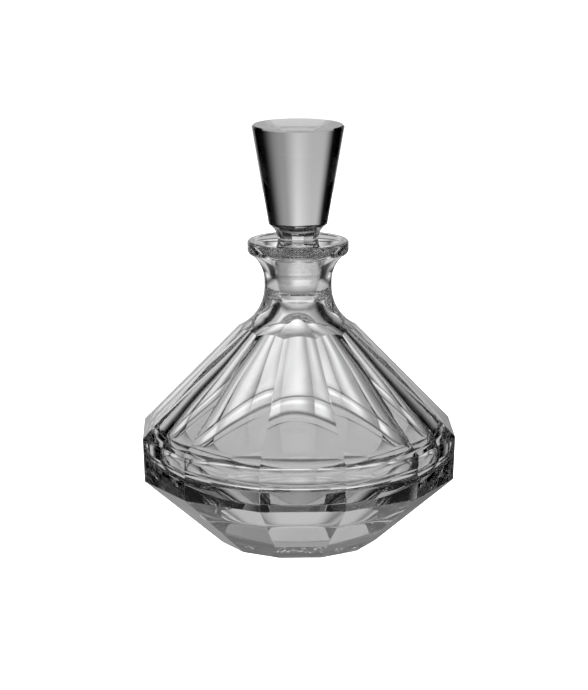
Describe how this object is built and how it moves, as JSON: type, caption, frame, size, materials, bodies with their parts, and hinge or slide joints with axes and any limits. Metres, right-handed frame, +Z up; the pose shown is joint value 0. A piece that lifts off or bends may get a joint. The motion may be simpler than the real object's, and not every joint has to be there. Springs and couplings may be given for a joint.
{
  "type": "cut crystal decanter",
  "caption": "Low, wide crystal decanter with a faceted conical shoulder, upright girdle, round neck and lip, and a tall solid stopper that lifts out.",
  "frame": {"origin": "centre of the flat base, on the surface the decanter stands on", "axes": "+Z up along the decanter's axis through the neck and stopper; the middle of one facet faces -Y"},
  "size_m": [0.1772, 0.1772, 0.24],
  "materials": {
    "body_crystal": "cut and polished clear lead crystal",
    "stopper_crystal": "cut and polished clear lead crystal, plug fine ground and polished"
  },
  "bodies": {
    "decanter": {"decanter_body": "body_crystal"},
    "stopper": {"stopper": "stopper_crystal"}
  },
  "joints": [
    {"name": "stopper_lift", "type": "slide", "parent": "decanter", "child": "stopper", "axis": [0, 0, 1], "range_m": [0, 0.07]}
  ]
}
